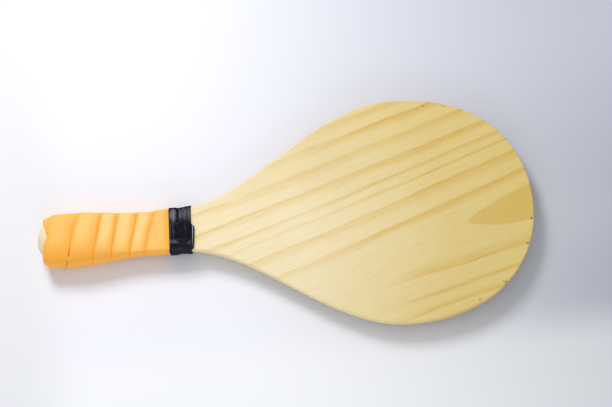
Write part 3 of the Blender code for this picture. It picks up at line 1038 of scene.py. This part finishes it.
@dataclass
class HandleCheek:
    """A half-round cheek on one side of the tang."""

    form: PaddleForm
    face: Face
    end: float = 71.0 * MM
    first: float = 0.4 * MM
    glue_gap: float = 0.3 * MM
    along: int = 64
    around: int = 96
    closeness: float = 1.7

    def spot(self, along: float, around: float) -> Spot:
        """Place a vertex of the whole handle: the rings lie closer together near the rounded butt.

        Args:
            along: The share of the way from the butt to the cheek's end.
            around: The share of a turn.

        Returns:
            The vertex.
        """
        x = blend(self.first, self.end, along ** self.closeness)
        y, z = self.form.round_point(self.form.bare_section(x), around * STATIONS)
        return Spot(self.form.world(x, y, z))

    def build(self, material: Material) -> Piece:
        """Roll the whole handle, cut it at the glue face and close it there.

        Args:
            material: The cheek's finish.

        Returns:
            The cheek, tied to the frame.
        """
        bm = rolled_grid(self.along, self.around, self.spot)
        sign = self.face.value
        glue = self.form.board_middle + sign * (self.form.board_thickness / 2 + self.glue_gap)
        cut = bmesh.ops.bisect_plane(bm, geom=bm.verts[:] + bm.edges[:] + bm.faces[:], dist=1e-7,
                                     plane_co=(0, 0, glue), plane_no=(0, 0, sign), clear_inner=True)
        rim = [item for item in cut["geom_cut"] if isinstance(item, bmesh.types.BMEdge)]
        bmesh.ops.edgeloop_fill(bm, edges=rim)
        bmesh.ops.recalc_face_normals(bm, faces=bm.faces)
        name = self.face.name.lower()
        return seat(finished_piece("pine_cheek_" + name, bm, material), "pine_cheek", name + "_handle_cheek")


@dataclass(eq=False)
class WoundBand:
    """A band wound round the handle: at each station it has a ring of vertices round its own section."""

    form: PaddleForm
    finish: Finish
    name: ClassVar[str]
    start_turn: ClassVar[float]
    end_turn: ClassVar[float]
    steps_per_turn: ClassVar[int]
    sharp_from: ClassVar[float] = 50.0

    def profile(self, station: float) -> tuple[Spot, ...]:
        """Return the ring of vertices round the band at a station."""
        raise NotImplementedError

    def spot(self, along: float, around: float) -> Spot:
        """Return the vertex at a share along the band and a share round its section."""
        ring = self.profile(round(blend(self.start_turn * STATIONS, self.end_turn * STATIONS, along), 5))
        return ring[round(around * len(ring)) % len(ring)]

    def rolled(self) -> Piece:
        """Roll the rings into one solid.

        Returns:
            The band, not yet tied to the frame.
        """
        steps = round((self.end_turn - self.start_turn) * self.steps_per_turn)
        bm = rolled_grid(steps, len(self.profile(0.0)), self.spot, self.finish.marks)
        return finished_piece(self.name, bm, self.finish.build(), self.sharp_from)


@dataclass(frozen=True)
class StripLine:
    """The strip across its width at one station: the turns made, the places of its bends and its rise."""

    turn: float
    near: float
    full_to: float
    pressed_from: float
    far: float
    rise: float


@dataclass(eq=False)
class FoamStrip(WoundBand):
    """One foam strip wound from the butt to the collar, each turn over the edge of the one before.

    The edges say where its butt-side edge passes over the front, in millimetres, a turn apart from one
    turn before its start. One edge near its end is pressed in so well that it hardly shows.
    """

    name: ClassVar[str] = "foam_strip"
    start_turn: ClassVar[float] = -1.0
    end_turn: ClassVar[float] = 5.78
    steps_per_turn: ClassVar[int] = 96
    edges: tuple[float, ...] = (-17.0, 7.0, 30.8, 52.2, 66.2, 82.5, 95.2, 118.0, 131.0)
    edge_sway: Wander = Wander(0.25, 1.0, 2.3)
    edge_steady: float = 0.5
    collar: float = 113.3 * MM
    collar_tilt: float = 1.0 * MM
    collar_shift: float = -0.4 * MM
    butt_edge: float = 4.2 * MM
    butt_bow: Hump = Hump(5.7 * MM, 0.9, 3.2)
    least_station_at: float = 5.2 * MM
    curl_reach: float = 3.2 * MM
    curl_from: float = 1.2
    low: Hump = Hump(1.0, 19.0, 3.0)
    least_shown: float = 0.35 * MM
    front_slant: float = 0.45
    front_middle: float = 0.8
    lap: float = 3.5 * MM
    lap_fades_from: float = 4.6
    lap_loss: float = 0.9
    thickness: float = 1.4 * MM
    pressed: float = 0.95 * MM
    fullness: float = 0.65
    fuller: tuple[Hump, ...] = rows(Hump, (0.5, 3.97, 0.2), (-0.9, 4.28, 0.1))
    press_ramp: float = 0.16 * MM
    least_full: float = 0.4
    least_end: float = 1.3 * MM
    seat_gap: float = 0.12 * MM
    turn_gap: float = 0.10 * MM
    tuck: float = 3.2 * MM
    start_rise: float = 0.2
    hidden: Hump = Hump(1.0, 5.0, 0.26)
    hidden_softening: float = 0.8
    hidden_steepening: float = 0.6
    edge_band: float = 0.9 * MM
    edge_share: float = 0.45
    edge_steps: tuple[float, ...] = (0.0, 0.05, 0.18, 0.42, 0.7, 1.0)
    body_steps: int = 7
    press_steps: tuple[float, ...] = (0.25, 0.5, 0.75, 1.0)
    covered_steps: tuple[float, ...] = (0.3, 1.0)
    under_steps: tuple[float, ...] = (0.0, 0.25, 0.5, 0.75, 0.86, 0.94, 1.0)
    edge_radius: float = 0.24 * MM
    crown_height: float = 0.06 * MM
    crown_width: float = 8.0 * MM
    crease_middle: float = 0.42
    crease_sway: Wander = Wander(0.16, 3.0, 1.7)
    crease_width: float = 0.12
    crease_depth: float = 0.021 * MM
    crease_swing: Wander = Wander(0.07 * MM, 4.0, 2.9)
    lumps: Wander = Wander(0.05 * MM, 5.0, 7.0, 180.0)
    fold_band: float = 1.4 * MM
    bend_band: float = 0.45 * MM
    bend_shade: float = 0.6
    pull: Hump = Hump(0.8 * MM, 20.8, 1.7)
    slit: Hump = Hump(0.9 * MM, 20.3, 1.1)
    # Positive humps bare the pale backing in the slit; negative ones paint its dark shade.
    backing_and_shade: tuple[Hump, ...] = rows(Hump, (1.0, 20.15, 0.5), (-1.0, 21.15, 0.55), (-1.0, 19.45, 0.2))
    floor_height: float = 0.0

    def edge(self, turn: float) -> float:
        """Where the butt-side edge of the strip lies.

        Args:
            turn: The turns made.

        Returns:
            The edge's length from the butt.
        """
        whole = min(max(math.floor(turn), 0), len(self.edges) - 4)
        before, first, last, after = self.edges[whole:whole + 4]
        x = hermite(turn - whole, (0.0, first, (last - before) / 2), (1.0, last, (after - first) / 2))
        return (x + self.edge_sway.at(turn) * smooth_step(turn / self.edge_steady)) * MM

    def lap_at(self, turn: float) -> float:
        """Return how far a turn's edge lies over the turn before: less and less at the strip's end."""
        return self.lap * (1 - self.lap_loss * smooth_step(turn - self.lap_fades_from))

    def near_edge(self, station: float) -> float:
        """Where the strip's butt-side edge lies: no nearer to the butt than its first, bowed ring.

        Args:
            station: The station, counted on from turn to turn.

        Returns:
            The edge's length from the butt.
        """
        turn = self.turn_at(station)
        ring = self.butt_edge + self.butt_bow.around(station)
        shown = self.least_shown * smooth_step(1 + turn / self.edge_steady)
        return max(self.edge(turn) + self.pull.at(station), ring + shown)

    def collar_line(self, station: float) -> float:
        """Return where the tape's first edge lies: it is wound a little askew."""
        return self.collar + self.collar_shift + self.collar_tilt * math.sin(2 * math.pi * station / STATIONS)

    @lru_cache(maxsize=None)
    def turn_at(self, station: float) -> float:
        """How many turns are made at a station: the strip advances faster over the front than behind.

        Args:
            station: The station, counted on from turn to turn.

        Returns:
            The turns.
        """
        whole, place = divmod(station, STATIONS)
        section = self.form.wound_section(max(self.edge(station / STATIONS), self.least_station_at))
        ways = ways_along([Vector(self.form.round_point(section, i)) for i in range(STATIONS + 1)])
        low = int(place)
        share = blend(ways[low], ways[min(low + 1, STATIONS)], place - low) / ways[-1]
        return whole + share + self.front_slant * math.sin(2 * math.pi * share) / (2 * math.pi)

    def line(self, station: float) -> StripLine:
        """The strip's bends at a station.

        Args:
            station: The station, counted on from turn to turn.

        Returns:
            The bends, from the butt-side edge to the edge that the next turn covers.
        """
        turn = self.turn_at(station)
        edge = self.near_edge(station)
        near = edge + self.slit.at(station)
        following = self.near_edge(station + STATIONS)
        far = min(following + self.lap_at(self.turn_at(station + STATIONS)), self.collar + self.tuck)
        under = min(edge + self.lap_at(turn), far - self.least_end)
        rise = (self.pressed + self.turn_gap) * (far - near) / (far - max(under, near))
        rise *= smooth_step(1 + turn / self.start_rise) * smooth_step((under - near) / self.least_end)
        pressed_from = min(following, self.collar_line(station))
        ramp = self.press_ramp * (1 - self.hidden_steepening * self.hidden.at(turn + 1))
        full_to = max(pressed_from - ramp, blend(near, pressed_from, self.least_full))
        return StripLine(turn, near, full_to, pressed_from, far, rise)

    def stations_across(self, line: StripLine) -> list[float]:
        """The places across the strip where its outer face has vertices.

        Args:
            line: The strip's bends at the station.

        Returns:
            The places, from the butt-side edge on.
        """
        edge = min(self.edge_band, self.edge_share * (line.full_to - line.near))
        places = [line.near + edge * share for share in self.edge_steps]
        places += [blend(places[-1], line.full_to, (i + 1) / self.body_steps) for i in range(self.body_steps)]
        places += [blend(line.full_to, line.pressed_from, share) for share in self.press_steps]
        return places + [blend(line.pressed_from, line.far, share) for share in self.covered_steps]

    def outer(self, line: StripLine, x: float) -> float:
        """How thick the strip is: round-edged, crowned, creased, and pressed under the next turn.

        Args:
            line: The strip's bends at the station.
            x: The place across the strip.

        Returns:
            The thickness there.
        """
        shown = line.pressed_from - line.near
        share = min(max((x - line.near) / shown, 0.0), 1.0)
        pressing = smooth_step((x - line.full_to) / (line.pressed_from - line.full_to))
        sunk = line.rise * (min(x, line.full_to) - line.near) / (line.far - line.near)
        stepped = 1 + sum(step.at(line.turn) for step in self.fuller)
        body = blend(self.thickness + self.fullness * stepped * sunk, self.pressed, pressing)
        body += self.crown_height * math.sin(math.pi * share) * min(1.0, shown / self.crown_width)
        crease = bell(share - self.crease_middle - self.crease_sway.at(line.turn), self.crease_width)
        body -= crease * max(0.0, self.crease_depth + self.crease_swing.at(line.turn))
        body += self.lumps.at(line.turn, x) * (1 - pressing)
        inset = max(self.edge_radius - (x - line.near), 0.0)
        return body - (self.edge_radius - math.sqrt(max(self.edge_radius ** 2 - inset ** 2, 0.0)))

    def marks(self, line: StripLine, station: float, x: float, top: bool) -> dict[str, float]:
        """What the finish needs to know of a vertex.

        Args:
            line: The strip's bends at the station.
            station: The station.
            x: The vertex's place across the strip.
            top: Whether it lies on the outer face.

        Returns:
            How far along and across it lies, and its painted shade, painted highlight, pale backing and
            painted slit shade.
        """
        shown = max(line.pressed_from - line.near, 0.1 * MM)
        share = min(max((x - line.near) / shown, 0.0), 1.0)
        # where the painted highlight falls: 1 in the middle of the front
        front = 0.5 + 0.5 * math.cos(2 * math.pi * (station - self.front_middle) / STATIONS)
        # painted shade, deepening towards the part that the next turn covers
        fold = smooth_step((x - line.full_to + self.fold_band) / (self.fold_band + self.press_ramp))
        fold *= 1 - self.hidden_softening * self.hidden.at(line.turn + 1)
        bend = self.bend_shade * bell(x - line.near, self.bend_band)
        bend *= 1 - self.hidden_softening * self.hidden.at(line.turn)
        in_slit = top and line.turn < 0 and x > line.pressed_from - 0.01 * MM
        backing_and_shade = sum(patch.at(station + STATIONS) for patch in self.backing_and_shade) if in_slit else 0.0
        return {"across": share, "along": line.turn, "front": front if top else 0.0, "backing_and_shade": backing_and_shade,
                "edge": max(bend, fold) if top else 1.0, "low": self.low.around(station)}

    @lru_cache(maxsize=None)
    def profile(self, station: float) -> tuple[Spot, ...]:
        """The ring of vertices round the strip's section.

        Args:
            station: The station, counted on from turn to turn.

        Returns:
            The vertices: over the outer face from the butt-side edge, and back underneath.
        """
        line = self.line(station)
        on_wood = 1 - smooth_step(self.curl_from + line.turn / self.start_rise)
        upper = [(x, True) for x in self.stations_across(line)]
        lower = [(blend(line.far, line.near, share), False) for share in self.under_steps]
        spots = []
        for x, top in upper + lower:
            height = self.seat_gap + line.rise * (line.far - x) / (line.far - line.near)
            if top:
                height += self.outer(line, x)
            y, z = self.form.round_point(self.form.wound_section(x), station, height)
            if not top:
                bare_y, bare_z = self.form.round_point(self.form.bare_section(x), station, height)
                curled = on_wood * (1 - smooth_step((x - line.near) / self.curl_reach))
                y, z = blend(y, bare_y, curled), blend(z, bare_z, curled)
            place = self.form.world(x, y, z)
            place.z = max(place.z, self.floor_height)
            spots.append(Spot(place, self.marks(line, station, x, top)))
        return tuple(spots)

    def build(self) -> Piece:
        """Wind the soft foam strip.

        Returns:
            The strip, tied to the frame.
        """
        piece = self.rolled()
        return seat(piece, "grip_foam", "grip_strip")


@dataclass(frozen=True)
class Wrinkle:
    """A soft ridge in the tape, or a patch of painted sheen on it: its middle, height and half widths across
    and round the tape.
    """

    across: float
    station: float
    height: float
    width: float
    spread: float


@dataclass(eq=False)
class TapeCollar(WoundBand):
    """Black tape wound twice over the end of the strip, its end standing out on the blade's side."""

    strip: FoamStrip
    name: ClassVar[str] = "tape_collar"
    start_turn: ClassVar[float] = 0.0
    end_turn: ClassVar[float] = 2.0
    steps_per_turn: ClassVar[int] = 168
    width: float = 18.7 * MM
    thickness: float = 0.42 * MM
    growth: float = 0.7 * MM
    outer_from: float = 0.9
    outer_over: float = 0.2
    end_station: float = 0.60
    loose_stations: float = 4.8
    loose_span: float = 4.2
    end_slant: float = 0.5
    end_slant_power: int = 6
    end_slant_turns: float = 0.03
    fold: Hump = Hump(1.0, 17.4 * MM, 0.42 * MM)
    fold_height: float = 0.30 * MM
    skew: float = 2.6 * MM
    tuck_room: float = 0.2 * MM
    tuck_rise: float = 0.35 * MM
    step_down: float = 6.0 * MM
    seat_gap: float = 0.15 * MM
    rim: float = 0.2 * MM
    low: Hump = Hump(1.0, 18.8, 2.0)
    steps_across: int = 44
    puckers: Wander = Wander(0.035 * MM, 8.0, 0.55, 420.0)
    smooth_band: float = 1.2 * MM
    sway: float = 0.4 * MM
    sway_rate: float = 0.4
    bend_from: float = 13.0 * MM
    bend_rate: float = 100.0
    bends_below: float = 0.3
    # Patches of painted sheen.
    painted_sheens: tuple[Wrinkle, ...] = rows(
        Wrinkle, (4.1, 1.40, 2.80, 1.5, 0.55), (1.4, 1.35, 0.70, 1.1, 0.55), (9.7, 1.50, 0.95, 1.0, 0.55),
        (13.2, 1.50, 0.80, 2.4, 0.52), (17.2, 1.45, 0.80, 0.9, 0.60), (1.0, 0.0, 0.32, 0.5, 1.6),
        (5.0, 22.94, 0.55, 6.0, 0.05), (0.8, 22.74, 0.90, 2.4, 0.06), (11.0, 22.80, 0.30, 2.0, 0.05),
        (2.2, 22.58, 0.75, 3.0, 0.05), (14.6, 22.45, 0.85, 1.4, 0.07), (11.0, 23.9, 0.22, 0.4, 0.8),
        (9.0, 21.2, 0.24, 9.0, 0.8))
    wrinkles: tuple[Wrinkle, ...] = rows(
        Wrinkle, (5.2, 2.6, 0.20, 0.7, 1.9), (10.3, 2.2, 0.17, 0.8, 2.0), (14.6, 3.2, 0.12, 0.6, 1.4),
        (2.6, 1.0, 0.10, 0.5, 2.4), (8.0, 23.0, 0.07, 5.0, 0.14), (9.5, 22.68, 0.08, 6.0, 0.12),
        (8.5, 22.4, 0.07, 5.0, 0.12), (2.7, 11.0, 0.15, 0.9, 4.0), (12.0, 14.0, 0.14, 0.8, 4.0),
        (6.0, 15.2, 0.12, 0.9, 1.5))

    def base(self, x: float, collar: float) -> float:
        """How high the tape's first turn lies over the handle.

        Args:
            x: The length from the butt.
            collar: Where the tape's first edge lies.

        Returns:
            The height of its under side.
        """
        tuck_end = self.strip.collar + self.strip.tuck + self.tuck_room
        risen = self.tuck_rise * smooth_step((tuck_end - x) / (tuck_end - collar))
        top = self.strip.seat_gap + self.strip.pressed + risen
        return blend(top + self.seat_gap, self.seat_gap, smooth_step((x - tuck_end) / self.step_down))

    def summed(self, wrinkles: Sequence[Wrinkle], across: float, station: float) -> float:
        """What the wrinkles or the painted sheen patches add up to. The narrow ones bend with the tape's last
        edge.

        Args:
            wrinkles: The wrinkles.
            across: Distance across the tape.
            station: Place round it.

        Returns:
            The sum of their heights.
        """
        total = 0.0
        bend = self.bend_rate * max(across - self.bend_from, 0.0)
        for wrinkle in wrinkles:
            bent = station - bend * (wrinkle.spread < self.bends_below)
            centre = wrinkle.across * MM + Wander(self.sway, wrinkle.across, self.sway_rate).at(station)
            total += (wrinkle.height * bell(across - centre, wrinkle.width * MM)
                      * bell(round_gap(bent, wrinkle.station), wrinkle.spread))
        return total

    @lru_cache(maxsize=None)
    def profile(self, station: float) -> tuple[Spot, ...]:
        """The ring of vertices round the tape's section.

        Args:
            station: The station, counted from the tape's inner end.

        Returns:
            The vertices: over the outer face from the butt-side edge, and back underneath.
        """
        turns = station / STATIONS
        left = self.end_turn * STATIONS - station
        loose = smooth_step((self.loose_stations - left) / self.loose_span)
        at_end = smooth_step((turns - self.end_turn + self.end_slant_turns) / self.end_slant_turns)
        wrinkled = smooth_step((turns - self.outer_from) / self.outer_over)
        steps = [i / self.steps_across for i in range(self.steps_across + 1)]
        spots = []
        for share, top in [(share, True) for share in steps] + [(share, False) for share in steps[::-1]]:
            place = self.end_station - self.end_turn * STATIONS + station
            place -= self.end_slant * share ** self.end_slant_power * at_end
            collar = self.strip.collar_line(place)
            across = share * self.width
            x = collar + across + self.skew * loose
            side = min(share, 1 - share) * self.width
            fold = loose * self.fold.at(across)
            height = self.base(x, collar) + self.growth * turns + self.fold_height * fold
            painted_sheen = 0.0
            if top:
                height += self.thickness - self.rim * bell(side, self.rim)
                relief = self.summed(self.wrinkles, across, place) * MM + self.puckers.at(place, across)
                height += relief * smooth_step(side / self.smooth_band) * wrinkled
                if turns > self.outer_from:
                    painted_sheen = self.summed(self.painted_sheens, across, place)
            y, z = self.form.round_point(self.form.wound_section(x), place, height)
            spots.append(Spot(self.form.world(x, y, z), {
                "across": share, "along": turns, "painted_sheen": painted_sheen, "fold": fold if top else 0.0,
                "low": self.low.around(place)}))
        return tuple(spots)

    def build(self) -> Piece:
        """Return the collar, tied to the frame."""
        return seat(self.rolled(), "collar_vinyl", "collar_tape")


@dataclass
class Brads:
    """The four brads that pin the cheeks, which keep their CAD shapes."""

    finish: Finish
    names: tuple[str, ...] = ("front_brad_near_butt", "front_brad_near_neck", "rear_brad_near_butt",
                              "rear_brad_near_neck")

    def dress(self) -> None:
        """Give each brad its finish."""
        steel = self.finish.build()
        for name in self.names:
            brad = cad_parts[name]
            brad.data.materials.clear()
            brad.data.materials.append(steel)


# ---- studio


@dataclass(frozen=True)
class SoftLamp:
    """A square softbox: where it stands, what it faces, its side and its power."""

    name: str
    stand: Triple
    faces: Triple
    side: float
    power: float
    colour: Colour = (1.0, 1.0, 1.0)

    def build(self) -> Piece:
        """Set the lamp up.

        Returns:
            The lamp, in the scene.
        """
        data = bpy.data.lights.new(self.name, "AREA")
        data.shape = "SQUARE"
        data.size = self.side
        data.energy = self.power
        data.color = self.colour
        lamp = bpy.data.objects.new(self.name, data)
        lamp.location = self.stand
        lamp.rotation_mode = "QUATERNION"
        lamp.rotation_quaternion = (Vector(self.faces) - Vector(self.stand)).to_track_quat("-Z", "Y")
        bpy.context.scene.collection.objects.link(lamp)
        return lamp


@dataclass(frozen=True)
class Studio:
    """Pale paper under the paddle, one broad window-like lamp and an even sky."""

    lamps: tuple[SoftLamp, ...] = (
        SoftLamp("window_lamp", (-0.36, 0.74, 0.84), (-0.10, 0.0, 0.0), 0.40, 8.1, (1.0, 0.995, 0.99)),
        SoftLamp("fill_lamp", (0.0, -0.95, 0.27), (0.0, 0.0, 0.0), 0.7, 3.0))
    sky: Colour = (0.95, 0.97, 1.0)
    sky_strength: float = 0.55
    floor_side: float = 8.0
    floor_segments: int = 8
    floor_gap: float = 0.1 * MM

    def build_floor(self) -> Piece:
        """Lay the paper floor.

        Returns:
            The floor.
        """
        bm = bmesh.new()
        bmesh.ops.create_grid(bm, x_segments=self.floor_segments, y_segments=self.floor_segments,
                              size=self.floor_side / 2, matrix=Matrix.Translation((0, 0, -self.floor_gap)))
        floor = finished_piece("paper_floor", bm, PAPER.build())
        return floor

    def build_sky(self) -> None:
        """Light the scene evenly and show the camera, and what reflects, plain white."""
        world = bpy.data.worlds.new("studio_sky")
        bpy.context.scene.world = world
        world.use_nodes = True
        nodes, links = world.node_tree.nodes, world.node_tree.links
        even = nodes["Background"]
        even.inputs["Color"].default_value = (*self.sky, 1.0)
        even.inputs["Strength"].default_value = self.sky_strength
        white = nodes.new("ShaderNodeBackground")
        white.inputs["Strength"].default_value = 1.0
        path = nodes.new("ShaderNodeLightPath")
        choose = nodes.new("ShaderNodeMixShader")
        seen = path.outputs["Is Camera Ray"]
        for other in ("Is Glossy Ray", "Is Transmission Ray"):
            either = nodes.new("ShaderNodeMath")
            either.operation = "MAXIMUM"
            links.new(seen, either.inputs[0])
            links.new(path.outputs[other], either.inputs[1])
            seen = either.outputs[0]
        for number, output in enumerate((seen, even.outputs[0], white.outputs[0])):
            links.new(output, choose.inputs[number])
        links.new(choose.outputs[0], nodes["World Output"].inputs["Surface"])

    def build(self) -> None:
        """Set up the floor, the sky and the lamps."""
        self.build_floor()
        self.build_sky()
        for lamp in self.lamps:
            lamp.build()
        bpy.context.scene.view_settings.view_transform = "Standard"


@dataclass(frozen=True)
class PortraitCamera:
    """The camera at the photograph's viewing angle, fitted to the paddle's outline there."""

    form: PaddleForm
    aim: Pair = (231.18 * MM, 14.0 * MM)
    azimuth: float = -1.989
    elevation: float = 72.531
    roll: float = -3.335
    distance: float = 1.2047
    lens: float = 82.353
    sensor: float = 36.0
    clip: Pair = (0.05, 50.0)

    def build(self) -> Piece:
        """Set the camera up.

        Returns:
            The scene's camera.
        """
        around, above, tilt = (math.radians(angle) for angle in (self.azimuth, self.elevation, self.roll))
        flat = math.cos(above)
        back = Vector((math.sin(around) * flat, -math.cos(around) * flat, math.sin(above)))
        level = Vector((0, 0, 1)).cross(back).normalized()
        upward = back.cross(level)
        right = level * math.cos(tilt) + upward * math.sin(tilt)
        top = upward * math.cos(tilt) - level * math.sin(tilt)
        data = bpy.data.cameras.new("portrait_camera")
        data.lens = self.lens
        data.sensor_width = self.sensor
        data.clip_start, data.clip_end = self.clip
        camera = bpy.data.objects.new("portrait_camera", data)
        place = self.form.world(self.aim[0], self.aim[1], 0.0) + back * self.distance
        camera.matrix_world = Matrix.Translation(place) @ Matrix((right, top, back)).transposed().to_4x4()
        bpy.context.scene.collection.objects.link(camera)
        bpy.context.scene.camera = camera
        return camera


def main() -> None:
    """Build the camera, the studio and the paddle."""
    logging.basicConfig(level=logging.INFO, format="%(name)s: %(message)s")
    form = PaddleForm.from_frame()
    PortraitCamera(form).build()
    Studio().build()

    pieces = [PineBoard(form, replace(BOARD_PINE, origin=form.pine_origin())).build()]
    cheek_pine = replace(CHEEK_PINE, origin=form.pine_origin()).build()
    pieces += [HandleCheek(form, face).build(cheek_pine) for face in Face]
    strip = FoamStrip(form, ORANGE_FOAM)
    pieces.append(strip.build())
    pieces.append(TapeCollar(form, BLACK_TAPE, strip).build())
    Brads(BRIGHT_WIRE).dress()
    for piece in pieces:
        LOG.info("%s: %d vertices", piece.name, len(piece.data.vertices))


if __name__ == "__main__":
    main()
